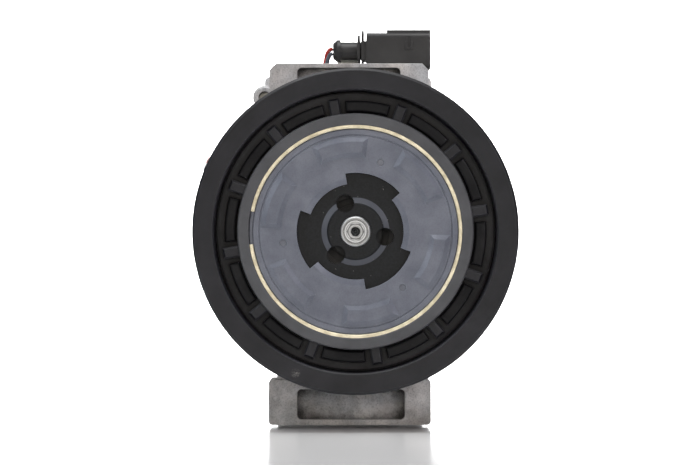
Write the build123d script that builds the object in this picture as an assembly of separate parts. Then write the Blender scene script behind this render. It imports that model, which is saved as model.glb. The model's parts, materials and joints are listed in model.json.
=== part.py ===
"""Clutchless automotive air-conditioning compressor, externally controlled, with a swash plate.

Frame: millimetres, +Z up, the shaft lies along Y with the pulley towards -Y, and the origin is on the
shaft axis at the middle of the belt track. The swash plate is drawn square to the shaft, the position
of least displacement, where the six pistons all stand near the valve plate.
"""

import os
from math import cos, degrees, radians, sin

from build123d import *

# ---------------------------------------------------------------- pulley and drive, front to back
PULLEY_R = 55.0
PULLEY_HALF_WIDTH = 13.0
GROOVE_COUNT = 6
GROOVE_PITCH = 3.56
GROOVE_TIP_R = 54.0
GROOVE_ROOT_R = 51.4
GROOVE_TOP_HALF = 1.4
GROOVE_ROOT_HALF = 0.45
RIM_INNER_R = 47.7
CHANNEL_FLOOR_Y = -3.0
WEB_BACK_Y = 1.5
PULLEY_HUB_R = 31.0
PULLEY_RIB_COUNT = 12

DRIVE_RING_OUTER_R = 39.8
DRIVE_RING_INNER_R = 35.9
DRIVE_RING_FRONT_Y = -11.5
DAMPER_COUNT = 12
DAMPER_FIRST_ANGLE = 9.5
PLATE_R = 35.7
PLATE_FACE_R = 34.6
PLATE_FRONT_Y = -10.6
PLATE_BACK_Y = -9.0
PLATE_TAB_R = 16.2
PLATE_NOTCH_R = 19.8
PLATE_PAD_R = (24.9, 32.0)
PLATE_PAD_HEIGHT = 0.95
PLATE_PAD_INSET = 1.7
PLATE_NOTCHES = ((41, 100), (159, 219), (280, 340))
PLATE_PADS = ((21, 60), (82, 118), (141, 178), (201, 238), (261, 298), (321, 358))
RIVET_PITCH_R = 24.7
RIVET_ANGLES = (70, 189, 310)
RIVET_R = 1.2
HUB_FLANGE_R = 31.0
HUB_BOSS_R = 9.6
SPANNER_HOLE_PITCH_R = 10.1
SPANNER_HOLE_R = 3.0
SPANNER_HOLE_ANGLES = (110, 230, 350)

# ---------------------------------------------------------------- pulley bearing, 35 x 52 x 20
BEARING_BORE_R = 17.5
BEARING_OUTER_R = 26.0
BEARING_FRONT_Y = -2.0
BEARING_BACK_Y = 18.0
INNER_RING_R = 20.2
OUTER_RING_R = 23.3
BALL_R = 2.4
BALL_PITCH_R = 21.75
BALL_COUNT = 14
BALL_ROWS_Y = (3.4, 12.6)
RACE_GROOVE_R = 2.6

# ---------------------------------------------------------------- shaft and its bearings
SHAFT_END_Y = -10.2
SHAFT_THREAD_R = 5.2
SHAFT_SHOULDER_Y = -1.0
JOURNAL_R = 8.0
SHAFT_BODY_R = 9.0
SHAFT_BODY_FRONT_Y = 31.0
SHAFT_BODY_BACK_Y = 96.0
SHAFT_BACK_Y = 117.0
HEX_SOCKET_AF = 5.5
NEEDLE_R = 1.2
NEEDLE_PITCH_R = 9.3
NEEDLE_COUNT = 16
SHELL_INNER_R = 10.55
SHELL_OUTER_R = 11.75
FRONT_BEARING_Y = (15.5, 29.5)
REAR_BEARING_Y = (99.0, 113.0)
THRUST_PITCH_R = 20.0
THRUST_NEEDLE_COUNT = 24

# ---------------------------------------------------------------- housings
BODY_R = 54.0
CHAMBER_R = 49.5
CHAMBER_FRONT_Y = 31.5
BLOCK_FRONT_Y = 88.0
BLOCK_BACK_Y = 136.0
HEAD_FLOOR_Y = 141.0
HEAD_CHAMBER_BACK_Y = 153.0
HEAD_BACK_Y = 178.0
PORT_FACE_Y = 182.0
STACK_R = 50.0
STACK_BORE_R = 50.2

BOLT_PITCH_R = 45.5
BOLT_R = 3.0
BOLT_HOLE_R = 3.3
BOLT_ANGLES = tuple(range(0, 360, 60))
BOLT_HEAD_FRONT_Y = 17.5
BOLT_HEAD_BACK_Y = 23.0
BOLT_END_Y = 150.0

LUG_HOLE_R = 4.25
FRONT_LUG_Y = (17.0, 39.0)
REAR_LUG_Y = (150.0, 168.0)
FRONT_LUG_HOLE_Y = 28.0
REAR_LUG_HOLE_Y = 159.0
TOP_LUG_HOLE_Z = 50.0
BOTTOM_LUG_HOLE_Z = -59.8
FRONT_LUG_X = (-29.6, 25.2)
REAR_TOP_LUG_X = (-34.4, 29.2)
REAR_BOTTOM_LUG_X = (-29.6, 26.0)
FRONT_LUG_TOP_Z = 57.9
REAR_LUG_TOP_Z = 59.0
FRONT_LUG_BOTTOM_Z = -66.6
REAR_LUG_BOTTOM_Z = -67.8

# ---------------------------------------------------------------- pistons and swash plate
PISTON_COUNT = 6
PISTON_FIRST_ANGLE = 30.0
PISTON_PITCH_R = 34.5
CYLINDER_R = 15.0
PISTON_R = 14.97
PISTON_CROWN_Y = 135.0
PISTON_SKIRT_Y = 97.0
SWASH_Y = 77.0
SWASH_R = 41.0
SWASH_HALF = 4.0
SHOE_R = 8.0
SHOE_GAP = 0.05
SOCKET_R = 8.08
LUG_PLATE_Y = (35.0, 45.0)
LUG_PLATE_R = 39.0
LINK_PIN_R = 3.0
LINK_PIN_Y = 62.0
LINK_PIN_Z = 20.0

# ---------------------------------------------------------------- valves and ports in the rear head
VALVE_Y = 166.0
VALVE_R = 9.85
VALVE_BORE_R = 10.0
VALVE_LEFT_X = -54.5
VALVE_RIGHT_X = 22.0
SOLENOID_R = 12.0
SOLENOID_LEFT_X = -61.5
SUCTION_PORT = (20.0, -33.0)
SUCTION_PORT_R = 8.0
DISCHARGE_PORT = (-10.0, -17.5)
DISCHARGE_PORT_R = 6.5
DISCHARGE_PASSAGE_R = 5.5
PORT_MOUTH_DEPTH = 11.0
FLANGE_SCREW = (4.0, -31.0)
FLANGE_SCREW_R = 3.4
FLANGE_SCREW_DEPTH = 12.0
RELIEF_XZ = (8.0, 19.0)
RELIEF_R = 5.0

# ---------------------------------------------------------------- connector and leads
CONNECTOR_Y = (67.0, 85.0)
CONNECTOR_X = (4.0, 27.0)
CONNECTOR_Z = (58.4, 72.4)
NECK_Z = 65.1
NECK_Y = 76.0
LEAD_R = 0.75
CLIP_BOSS_ANGLE = 124.0
CLIP_BOSS_PITCH_R = 57.0
CLIP_BOSS_R = 4.2


def turned(*outline):
    """Solid of revolution about the shaft axis, from (radius, y) corners."""
    return revolve(make_face(Polyline(*outline, close=True)), Axis.Y)


def ring(inner, outer, front, back):
    return turned((inner, front), (outer, front), (outer, back), (inner, back))


def at_angle(angle, shape):
    """The shape turned about the shaft, counter-clockwise as seen from the pulley end."""
    return Rot(0, -angle, 0) * shape


def sector(inner, outer, front, back, start, end):
    """Part of a ring, from one angle to another, both counter-clockwise from +X."""
    section = Polyline((inner, front), (outer, front), (outer, back), (inner, back), close=True)
    return at_angle(end, revolve(make_face(section), Axis.Y, revolution_arc=end - start))


def rod_y(radius, front, back, x=0.0, z=0.0):
    return Pos(x, (front + back) / 2, z) * Rot(90, 0, 0) * Cylinder(radius, back - front)


def rod_x(radius, left, right, y, z):
    return Pos((left + right) / 2, y, z) * Rot(0, 90, 0) * Cylinder(radius, right - left)


def rod_z(radius, low, high, x, y):
    return Pos(x, y, (low + high) / 2) * Cylinder(radius, high - low)


def block(x, y, z):
    """Box from three (low, high) pairs."""
    centre = [(low + high) / 2 for low, high in (x, y, z)]
    return Pos(*centre) * Box(x[1] - x[0], y[1] - y[0], z[1] - z[0])


def rounded_block(x, y, z, radius):
    """Box whose four long edges along Y are rounded."""
    box = block(x, y, z)
    return fillet(box.edges().filter_by(Axis.Y), radius)


def hexagon_y(across_flats, front, back, x=0.0, z=0.0):
    """Hexagonal prism along Y."""
    outline = RegularPolygon(across_flats / 2, 6, major_radius=False)
    prism = extrude(outline, back - front)
    return Pos(x, back, z) * Rot(90, 0, 0) * prism


def clip_boss():
    """The clip's boss centre as (x, z)."""
    angle = radians(CLIP_BOSS_ANGLE)
    return CLIP_BOSS_PITCH_R * cos(angle), CLIP_BOSS_PITCH_R * sin(angle)


def arc_point(radius, angle):
    return radius * cos(radians(angle)), radius * sin(radians(angle))


def sector_face(inner, outer, start, end, y):
    """Flat part of a ring that looks to -Y, between two angles."""
    middle = (start + end) / 2
    outline = Wire([
        ThreePointArc(*(arc_point(outer, angle) for angle in (start, middle, end))),
        Line(arc_point(outer, end), arc_point(inner, end)),
        ThreePointArc(*(arc_point(inner, angle) for angle in (end, middle, start))),
        Line(arc_point(inner, start), arc_point(outer, start)),
    ])
    return Pos(0, y, 0) * (Plane.XZ * make_face(outline))


def embossed_pad(inner, outer, start, end, back, height, inset):
    """Pad on a face that looks to -Y, with sides that slope in towards its top."""
    turn = degrees(inset / ((inner + outer) / 2))
    foot = sector_face(inner, outer, start, end, back)
    top = sector_face(inner + inset, outer - inset, start + turn, end - turn, back - height)
    return loft([foot, top], ruled=True)


def around(angles, shape):
    return [at_angle(angle, shape) for angle in angles]


def spring(radius, wire_r, front, turns, back):
    """Compression spring about the shaft axis, from front to back."""
    coil = Helix((back - front) / turns, back - front, radius)
    section = Plane(origin=coil @ 0, z_dir=coil % 0) * Circle(wire_r)
    return Pos(0, back, 0) * Rot(90, 0, 0) * sweep(section, path=coil, is_frenet=True)


# ================================================================ pulley end
def make_pulley():
    outline = [
        (RIM_INNER_R + 0.5, -PULLEY_HALF_WIDTH),
        (PULLEY_R - 0.8, -PULLEY_HALF_WIDTH),
        (PULLEY_R, -PULLEY_HALF_WIDTH + 0.8),
        (PULLEY_R, -11.4),
        (GROOVE_TIP_R, -10.9),
    ]
    for index in range(GROOVE_COUNT):
        centre = (index - (GROOVE_COUNT - 1) / 2) * GROOVE_PITCH
        outline += [
            (GROOVE_TIP_R, centre - GROOVE_TOP_HALF),
            (GROOVE_ROOT_R, centre - GROOVE_ROOT_HALF),
            (GROOVE_ROOT_R, centre + GROOVE_ROOT_HALF),
            (GROOVE_TIP_R, centre + GROOVE_TOP_HALF),
        ]
    outline += [
        (GROOVE_TIP_R, 10.9),
        (PULLEY_R, 11.4),
        (PULLEY_R, PULLEY_HALF_WIDTH - 0.8),
        (PULLEY_R - 0.8, PULLEY_HALF_WIDTH),
        (49.4, PULLEY_HALF_WIDTH),
        (48.6, WEB_BACK_Y),
        (PULLEY_HUB_R + 0.6, WEB_BACK_Y),
        (PULLEY_HUB_R, BEARING_BACK_Y - 0.5),
        (BEARING_OUTER_R, BEARING_BACK_Y - 0.5),
        (BEARING_OUTER_R, BEARING_FRONT_Y),
        (BEARING_OUTER_R - 1.4, BEARING_FRONT_Y),
        (BEARING_OUTER_R - 1.4, CHANNEL_FLOOR_Y),
        (RIM_INNER_R - 0.5, CHANNEL_FLOOR_Y),
        (RIM_INNER_R, -PULLEY_HALF_WIDTH + 0.5),
    ]
    pulley = turned(*outline)
    rib = block((PULLEY_HUB_R, 49.0), (WEB_BACK_Y - 0.5, 9.0), (-1.2, 1.2))
    for index in range(PULLEY_RIB_COUNT):
        pulley += at_angle(index * 360 / PULLEY_RIB_COUNT, rib)
    return pulley


def make_drive_ring():
    """Steel ring that the dampers turn, with an inner groove for the retaining ring."""
    return turned(
        (DRIVE_RING_INNER_R + 0.3, DRIVE_RING_FRONT_Y),
        (DRIVE_RING_OUTER_R - 0.4, DRIVE_RING_FRONT_Y),
        (DRIVE_RING_OUTER_R, DRIVE_RING_FRONT_Y + 0.4),
        (DRIVE_RING_OUTER_R, CHANNEL_FLOOR_Y - 0.3),
        (28.0, CHANNEL_FLOOR_Y - 0.3),
        (28.0, CHANNEL_FLOOR_Y - 1.7),
        (DRIVE_RING_INNER_R, CHANNEL_FLOOR_Y - 1.7),
        (DRIVE_RING_INNER_R, -10.2),
        (36.9, -10.2),
        (36.9, -11.0),
        (DRIVE_RING_INNER_R, -11.0),
        (DRIVE_RING_INNER_R, -11.2),
    )


def damper_angles():
    return [DAMPER_FIRST_ANGLE + index * 360 / DAMPER_COUNT for index in range(DAMPER_COUNT)]


def make_damper_carrier():
    """Moulded ring in the channel, with a stubby tooth between each pair of rubber dampers."""
    carrier = ring(DRIVE_RING_OUTER_R, 46.6, -5.6, CHANNEL_FLOOR_Y)
    tooth = block((DRIVE_RING_OUTER_R - 0.5, 45.2), (-10.6, -5.0), (-1.85, 1.85))
    tooth = chamfer(tooth.faces().sort_by(Axis.Y)[0].edges(), 0.6)
    carrier += around(damper_angles(), tooth)
    return carrier - rod_y(DRIVE_RING_OUTER_R, -14.0, 0.0)


def make_damper_blocks():
    """Rubber dampers, one between each pair of the carrier's teeth."""
    half_step = 180 / DAMPER_COUNT
    clear = 4.9
    damper = sector(40.3, 44.2, -9.2, -5.6, clear, 2 * half_step - clear)
    damper = fillet(damper.faces().sort_by(Axis.Y)[0].edges(), 0.9)
    return Compound(around(damper_angles(), damper))


def make_retaining_ring():
    """Open ring with its gap on the left."""
    return sector(34.75, 36.8, -11.0, -10.2, 187, 360 + 169)


def make_cover_plate():
    plate = turned(
        (PLATE_TAB_R, PLATE_BACK_Y),
        (PLATE_R, PLATE_BACK_Y),
        (PLATE_R, -10.15),
        (PLATE_FACE_R, -10.15),
        (PLATE_FACE_R, PLATE_FRONT_Y + 0.2),
        (PLATE_FACE_R - 0.2, PLATE_FRONT_Y),
        (32.8, PLATE_FRONT_Y),
        (32.5, PLATE_FRONT_Y + 0.25),
        (32.2, PLATE_FRONT_Y),
        (18.1, PLATE_FRONT_Y),
        (PLATE_TAB_R, PLATE_FRONT_Y + 0.8),
    )
    for start, end in PLATE_PADS:
        plate += embossed_pad(
            *PLATE_PAD_R, start, end, PLATE_FRONT_Y + 0.05, PLATE_PAD_HEIGHT, PLATE_PAD_INSET
        )
    for start, end in PLATE_NOTCHES:
        plate -= sector(PLATE_TAB_R - 1.0, PLATE_NOTCH_R, -12.0, -8.0, start, end)
    return plate - around(RIVET_ANGLES, rod_y(RIVET_R, -12.0, -8.0, x=RIVET_PITCH_R))


def make_limiter_ring():
    """Torque-limiting ring between the cover plate and the drive ring's floor."""
    return ring(31.6, PLATE_R, PLATE_BACK_Y, CHANNEL_FLOOR_Y - 1.7)


def make_limiter_rivets():
    rivet = rod_y(RIVET_R, PLATE_FRONT_Y + 0.3, -6.2, x=RIVET_PITCH_R)
    rivet += rod_y(RIVET_R + 0.8, -6.5, -5.9, x=RIVET_PITCH_R)
    return Compound(around(RIVET_ANGLES, rivet))


def make_hub():
    """Hub screwed onto the shaft, with three holes for a pin spanner."""
    hub = turned(
        (SHAFT_THREAD_R + 0.05, -9.8),
        (HUB_BOSS_R - 0.4, -9.8),
        (HUB_BOSS_R, -9.4),
        (11.5, -8.4),
        (19.6, -8.4),
        (20.2, PLATE_BACK_Y),
        (HUB_FLANGE_R, PLATE_BACK_Y),
        (HUB_FLANGE_R, -6.5),
        (10.0, -6.5),
        (9.0, -5.0),
        (9.0, SHAFT_SHOULDER_Y - 0.1),
        (SHAFT_THREAD_R + 0.05, SHAFT_SHOULDER_Y - 0.1),
    )
    hub -= around(RIVET_ANGLES, rod_y(RIVET_R, -12.0, -5.0, x=RIVET_PITCH_R))
    return hub - around(SPANNER_HOLE_ANGLES, rod_y(SPANNER_HOLE_R, -12.0, -5.0, x=SPANNER_HOLE_PITCH_R))


# ================================================================ bearings
def race_grooves():
    groove = Rot(90, 0, 0) * Torus(BALL_PITCH_R, RACE_GROOVE_R)
    return [Pos(0, row, 0) * groove for row in BALL_ROWS_Y]


def make_bearing_inner_ring():
    return ring(BEARING_BORE_R, INNER_RING_R, BEARING_FRONT_Y, BEARING_BACK_Y) - race_grooves()


def make_bearing_outer_ring():
    return ring(OUTER_RING_R, BEARING_OUTER_R, BEARING_FRONT_Y, BEARING_BACK_Y) - race_grooves()


def make_bearing_seals():
    front = ring(INNER_RING_R + 0.15, OUTER_RING_R, BEARING_FRONT_Y + 0.3, BEARING_FRONT_Y + 1.1)
    back = ring(INNER_RING_R + 0.15, OUTER_RING_R, BEARING_BACK_Y - 1.1, BEARING_BACK_Y - 0.3)
    return Compound([front, back])


def make_bearing_balls():
    """Both rows of balls with the ring cage that spaces each row."""
    pieces = []
    step = 360 / BALL_COUNT
    angles = [index * step for index in range(BALL_COUNT)]
    for row in BALL_ROWS_Y:
        ball = Pos(BALL_PITCH_R, row, 0) * Sphere(BALL_R)
        pocket = rod_x(BALL_R + 0.1, BALL_PITCH_R - 2.0, BALL_PITCH_R + 2.0, row, 0.0)
        pieces += around(angles, ball)
        pieces.append(ring(21.2, 22.3, row - 3.0, row + 3.0) - around(angles, pocket))
    return Compound(pieces)


def make_needle_shell(span):
    front, back = span
    return turned(
        (NEEDLE_PITCH_R, front), (SHELL_OUTER_R, front), (SHELL_OUTER_R, back), (NEEDLE_PITCH_R, back),
        (NEEDLE_PITCH_R, back - 0.8), (SHELL_INNER_R, back - 0.8), (SHELL_INNER_R, front + 0.8),
        (NEEDLE_PITCH_R, front + 0.8),
    )


def make_needles(span):
    """Needle rollers with the two end rings of their cage."""
    front, back = span
    angles = [index * 360 / NEEDLE_COUNT for index in range(NEEDLE_COUNT)]
    rollers = around(angles, rod_y(NEEDLE_R, front + 2.2, back - 2.2, x=NEEDLE_PITCH_R))
    ends = [ring(8.6, 10.2, front + 1.1, front + 2.2), ring(8.6, 10.2, back - 2.2, back - 1.1)]
    return Compound(rollers + ends)


def make_thrust_needles():
    """Flat needle bearing that takes the lug plate's push."""
    angles = [index * 360 / THRUST_NEEDLE_COUNT for index in range(THRUST_NEEDLE_COUNT)]
    middle_y = (CHAMBER_FRONT_Y + LUG_PLATE_Y[0]) / 2
    roller = rod_x(NEEDLE_R, THRUST_PITCH_R - 3.0, THRUST_PITCH_R + 3.0, middle_y, 0.0)
    rollers = around(angles, roller)
    rims = [
        ring(inner, outer, middle_y - 0.9, middle_y + 0.9)
        for inner, outer in ((15.5, 16.8), (23.2, 24.5))
    ]
    return Compound(rollers + rims)


# ================================================================ shaft assembly
def make_drive_shaft():
    shaft = turned(
        (0.0, SHAFT_END_Y),
        (SHAFT_THREAD_R - 0.5, SHAFT_END_Y),
        (SHAFT_THREAD_R, SHAFT_END_Y + 0.5),
        (SHAFT_THREAD_R, SHAFT_SHOULDER_Y),
        (JOURNAL_R - 0.5, SHAFT_SHOULDER_Y),
        (JOURNAL_R, SHAFT_SHOULDER_Y + 0.5),
        (JOURNAL_R, SHAFT_BODY_FRONT_Y),
        (SHAFT_BODY_R, SHAFT_BODY_FRONT_Y + 1.0),
        (SHAFT_BODY_R, SHAFT_BODY_BACK_Y),
        (JOURNAL_R, SHAFT_BODY_BACK_Y + 1.0),
        (JOURNAL_R, SHAFT_BACK_Y - 1.0),
        (JOURNAL_R - 1.0, SHAFT_BACK_Y),
        (0.0, SHAFT_BACK_Y),
    )
    shaft -= ring(3.7, 4.4, SHAFT_END_Y - 1.0, SHAFT_END_Y + 0.5)
    shaft -= hexagon_y(HEX_SOCKET_AF, SHAFT_END_Y - 1.0, SHAFT_END_Y + 2.5)
    shaft -= turned((0, SHAFT_END_Y + 2.0), (1.9, SHAFT_END_Y + 2.0), (1.4, SHAFT_END_Y + 3.0),
                    (1.4, SHAFT_END_Y + 8.0), (0, SHAFT_END_Y + 9.0))
    return shaft


def make_lug_plate():
    """Disc pressed on the shaft, with two arms that hold the link pin."""
    front, back = LUG_PLATE_Y
    plate = ring(SHAFT_BODY_R, LUG_PLATE_R, front, back)
    for side in (-1, 1):
        edges = sorted((side * 6.0, side * 10.5))
        plate += block(edges, (back - 1.0, LINK_PIN_Y + 4.0), (LINK_PIN_Z - 4.5, LINK_PIN_Z + 4.0))
    return plate - rod_x(LINK_PIN_R, -20.0, 20.0, LINK_PIN_Y, LINK_PIN_Z)


def make_swash_plate():
    """Disc square to the shaft, with a hub and an ear that the link pin guides."""
    plate = ring(SHAFT_BODY_R + 0.1, SWASH_R, SWASH_Y - SWASH_HALF, SWASH_Y + SWASH_HALF)
    plate += ring(SHAFT_BODY_R + 0.1, 17.0, SWASH_Y - 8.0, SWASH_Y + 7.0)
    ear_z = (LINK_PIN_Z - 4.5, LINK_PIN_Z + 4.0)
    plate += block((-5.8, 5.8), (LINK_PIN_Y - 4.0, SWASH_Y - SWASH_HALF + 1.0), ear_z)
    return plate - rod_x(LINK_PIN_R, -20.0, 20.0, LINK_PIN_Y, LINK_PIN_Z)


def make_link_pin():
    return rod_x(LINK_PIN_R, -11.0, 11.0, LINK_PIN_Y, LINK_PIN_Z)


def make_destroke_spring():
    return spring(11.0, 1.0, LUG_PLATE_Y[1] + 1.1, 5, SWASH_Y - 9.1)


def make_return_spring():
    return spring(11.0, 0.7, SWASH_Y + 7.8, 3, BLOCK_FRONT_Y + 5.2)


# ================================================================ pistons
def piston_angles():
    return [PISTON_FIRST_ANGLE + index * 360 / PISTON_COUNT for index in range(PISTON_COUNT)]


def make_piston():
    """Single-headed piston on the +X side, with a bridge over the swash plate's rim."""
    piston = rod_y(PISTON_R, PISTON_SKIRT_Y, PISTON_CROWN_Y, x=PISTON_PITCH_R)
    piston -= rod_y(PISTON_R - 3.0, PISTON_SKIRT_Y - 1.0, PISTON_CROWN_Y - 6.0, x=PISTON_PITCH_R)
    piston += block((27.5, 47.0), (SWASH_Y + 5.5, PISTON_SKIRT_Y + 3.0), (-8.0, 8.0))
    piston += block((27.5, 47.0), (SWASH_Y - 14.5, SWASH_Y - 5.5), (-8.0, 8.0))
    piston += block((42.6, 47.0), (SWASH_Y - 14.5, PISTON_SKIRT_Y), (-8.0, 8.0))
    return piston - Pos(PISTON_PITCH_R, SWASH_Y, 0) * Sphere(SOCKET_R)


def make_piston_shoes():
    """Half-ball shoes, a pair for each piston, one on each face of the swash plate."""
    ball = Pos(PISTON_PITCH_R, SWASH_Y, 0) * Sphere(SHOE_R)
    face = SWASH_HALF + SHOE_GAP
    spread = (PISTON_PITCH_R - 10.0, PISTON_PITCH_R + 10.0)
    shoes = []
    for span in ((SWASH_Y - 10.0, SWASH_Y - face), (SWASH_Y + face, SWASH_Y + 10.0)):
        shoes += around(piston_angles(), ball & block(spread, span, (-10.0, 10.0)))
    return Compound(shoes)


# ================================================================ housings
def lug_bar(x, y, z, radius, hole_y, hole_z):
    bar = rounded_block(x, y, z, radius)
    return bar - rod_x(LUG_HOLE_R, x[0] - 1.0, x[1] + 1.0, hole_y, hole_z)


def bolt_holes(front, back, radius=BOLT_HOLE_R):
    return around(BOLT_ANGLES, rod_y(radius, front, back, x=BOLT_PITCH_R))


def make_front_housing():
    left, right = FRONT_LUG_X
    front, back = FRONT_LUG_Y
    snout_r = BEARING_BORE_R - 0.05
    shell = turned(
        (0, -4.5), (17.0, -4.5), (snout_r, -4.0), (snout_r, -3.3), (16.7, -3.3),
        (16.7, -2.1), (snout_r, -2.1), (snout_r, 18.2), (20.5, 18.2), (20.5, 19.5),
        (35.0, 19.5), (39.0, 16.0), (48.0, 16.0), (BODY_R - 1.5, 21.0),
        (BODY_R - 0.6, 26.0), (BODY_R - 0.6, 80.0),
        (BODY_R + 0.6, 82.0), (BODY_R + 0.6, BLOCK_FRONT_Y), (0, BLOCK_FRONT_Y),
    )
    top = block((left, right), (front, back), (34.0, FRONT_LUG_TOP_Z))
    top_edges = top.edges().filter_by(Axis.Y).group_by(Axis.Z)[-1]
    top = chamfer(top_edges, 2.2)
    bottom = rounded_block((left - 0.3, right + 0.8), (front, back), (FRONT_LUG_BOTTOM_Z, -51.0), 1.4)
    neck = block((left + 2.6, right - 1.0), (front + 0.6, back - 0.6), (-54.0, -34.0))
    shell += [top, bottom, neck]
    boss_x, boss_z = clip_boss()
    boss = rod_y(CLIP_BOSS_R, 44.0, 70.0, x=boss_x, z=boss_z)
    shell += chamfer(boss.edges().sort_by(Axis.Y)[0], 0.8)
    web = block((49.0, CLIP_BOSS_PITCH_R), (46.0, 70.0), (-CLIP_BOSS_R, CLIP_BOSS_R))
    shell += at_angle(CLIP_BOSS_ANGLE, web)
    shell += block((-8.0, 25.0), (63.0, BLOCK_FRONT_Y), (40.0, 56.0))
    for angle in (35, 150, 215, 325):
        shell += at_angle(angle, block((50.0, BODY_R + 1.2), (24.0, 82.0), (-1.5, 1.5)))
    chamber = turned(
        (0, CHAMBER_FRONT_Y), (43.0, CHAMBER_FRONT_Y), (CHAMBER_R, 38.0),
        (CHAMBER_R, BLOCK_FRONT_Y + 1.0), (0, BLOCK_FRONT_Y + 1.0),
    )
    nose = turned(
        (0, -5.0), (14.0, -5.0), (14.0, -4.5), (13.5, -4.0), (13.5, 0.55), (14.3, 0.55), (14.3, 1.65),
        (13.5, 1.65), (13.5, 12.2), (9.2, 12.2), (9.2, 15.0), (11.8, 15.0), (11.8, 32.0), (0, 32.0),
    )
    shell -= [chamber, nose]
    shell -= bolt_holes(10.0, 40.0)
    shell -= bolt_holes(10.0, BOLT_HEAD_BACK_Y, radius=6.2)
    shell -= rod_x(LUG_HOLE_R, left - 5.0, right + 5.0, FRONT_LUG_HOLE_Y, TOP_LUG_HOLE_Z)
    shell -= rod_x(LUG_HOLE_R, left - 5.0, right + 5.0, FRONT_LUG_HOLE_Y, BOTTOM_LUG_HOLE_Z)
    shell -= rounded_block((-20.0, 15.5), (front - 2.0, front + 4.5), (46.2, 56.4), 1.5)
    shell -= rounded_block((-20.0, 17.0), (front - 1.0, front + 5.0), (-64.7, -54.3), 1.5)
    shell -= rod_y(2.1, 43.0, 71.0, x=boss_x, z=boss_z)
    shell -= rod_z(2.1, 50.5, 57.0, -4.0, 80.0)
    shell -= at_angle(250, rod_x(5.0, 48.0, 60.0, 60.0, 0.0))
    return shell


def make_cylinder_block():
    block_body = ring(9.6, BODY_R, BLOCK_FRONT_Y, BLOCK_BACK_Y)
    block_body -= ring(9.0, 13.5, BLOCK_FRONT_Y - 1.0, REAR_BEARING_Y[0] - 3.0)
    block_body -= ring(9.0, 11.8, REAR_BEARING_Y[0] - 0.5, BLOCK_BACK_Y - 14.0)
    block_body += rod_y(12.0, BLOCK_BACK_Y - 14.0, BLOCK_BACK_Y)
    block_body -= rod_y(2.0, BLOCK_BACK_Y - 16.0, BLOCK_BACK_Y + 1.0)
    bore = rod_y(CYLINDER_R, BLOCK_FRONT_Y - 1, BLOCK_BACK_Y + 1, x=PISTON_PITCH_R)
    block_body -= around(piston_angles(), bore)
    block_body -= bolt_holes(BLOCK_FRONT_Y - 1.0, BLOCK_BACK_Y + 1.0)
    for front, back in ((BLOCK_FRONT_Y, BLOCK_FRONT_Y + 1.4), (BLOCK_BACK_Y - 1.4, BLOCK_BACK_Y)):
        block_body -= ring(50.6, 52.6, front, back)
    for angle in range(15, 360, 30):
        block_body += at_angle(angle, block((BODY_R - 1.0, BODY_R + 1.0), (94.0, 130.0), (-1.6, 1.6)))
    return block_body


def make_housing_o_rings():
    front = ring(50.7, 52.5, BLOCK_FRONT_Y, BLOCK_FRONT_Y + 1.35)
    back = ring(50.7, 52.5, BLOCK_BACK_Y - 1.35, BLOCK_BACK_Y)
    return Compound([front, back])


def make_rear_head():
    left, right = REAR_TOP_LUG_X
    head = turned(
        (0, BLOCK_BACK_Y), (BODY_R, BLOCK_BACK_Y), (BODY_R, 170.0),
        (51.5, 175.0), (45.0, HEAD_BACK_Y), (0, HEAD_BACK_Y),
    )
    head += rounded_block((left, right), REAR_LUG_Y, (34.0, REAR_LUG_TOP_Z), 2.0)
    head += rounded_block(REAR_BOTTOM_LUG_X, REAR_LUG_Y, (REAR_LUG_BOTTOM_Z, -34.0), 2.0)
    head += rod_x(14.0, VALVE_LEFT_X, 40.0, VALVE_Y, 0.0)
    head += rounded_block((-20.0, 33.0), (165.0, PORT_FACE_Y), (-46.0, -7.5), 4.0)
    head -= rod_y(STACK_BORE_R, BLOCK_BACK_Y - 1.0, HEAD_FLOOR_Y)
    head -= rod_y(26.0, HEAD_FLOOR_Y - 1.0, HEAD_CHAMBER_BACK_Y)
    head -= ring(29.0, 41.0, HEAD_FLOOR_Y - 1.0, HEAD_CHAMBER_BACK_Y)
    head -= bolt_holes(BLOCK_BACK_Y, BOLT_END_Y + 1.0, radius=BOLT_R)
    head -= rod_x(VALVE_BORE_R, VALVE_LEFT_X - 1.0, VALVE_RIGHT_X + 0.5, VALVE_Y, 0.0)
    for hole_z in (TOP_LUG_HOLE_Z, BOTTOM_LUG_HOLE_Z):
        head -= rod_x(LUG_HOLE_R, left - 5.0, right + 5.0, REAR_LUG_HOLE_Y, hole_z)
    head -= rod_y(SUCTION_PORT_R, HEAD_CHAMBER_BACK_Y - 1.0, PORT_FACE_Y + 1.0, *SUCTION_PORT)
    head -= rod_y(DISCHARGE_PORT_R, PORT_FACE_Y - PORT_MOUTH_DEPTH, PORT_FACE_Y + 1.0, *DISCHARGE_PORT)
    head -= rod_y(DISCHARGE_PASSAGE_R, HEAD_CHAMBER_BACK_Y - 1.0, PORT_FACE_Y, *DISCHARGE_PORT)
    head -= rod_y(FLANGE_SCREW_R, PORT_FACE_Y - FLANGE_SCREW_DEPTH, PORT_FACE_Y + 1.0, *FLANGE_SCREW)
    head -= rod_y(RELIEF_R, HEAD_CHAMBER_BACK_Y - 1.0, PORT_FACE_Y, *RELIEF_XZ)
    head -= ring(9.0, 50.0, 176.4, 178.5) & block((-42.0, 42.0), (170.0, 180.0), (22.0, 44.0))
    return head


def stack_disc(front, back, outer=STACK_R):
    """Disc of the valve stack with the bolt holes through it."""
    return rod_y(outer, front, back) - bolt_holes(front - 1.0, back + 1.0)


def port_holes(pitch, radius, front, back):
    return around(piston_angles(), rod_y(radius, front, back, x=pitch))


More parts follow.
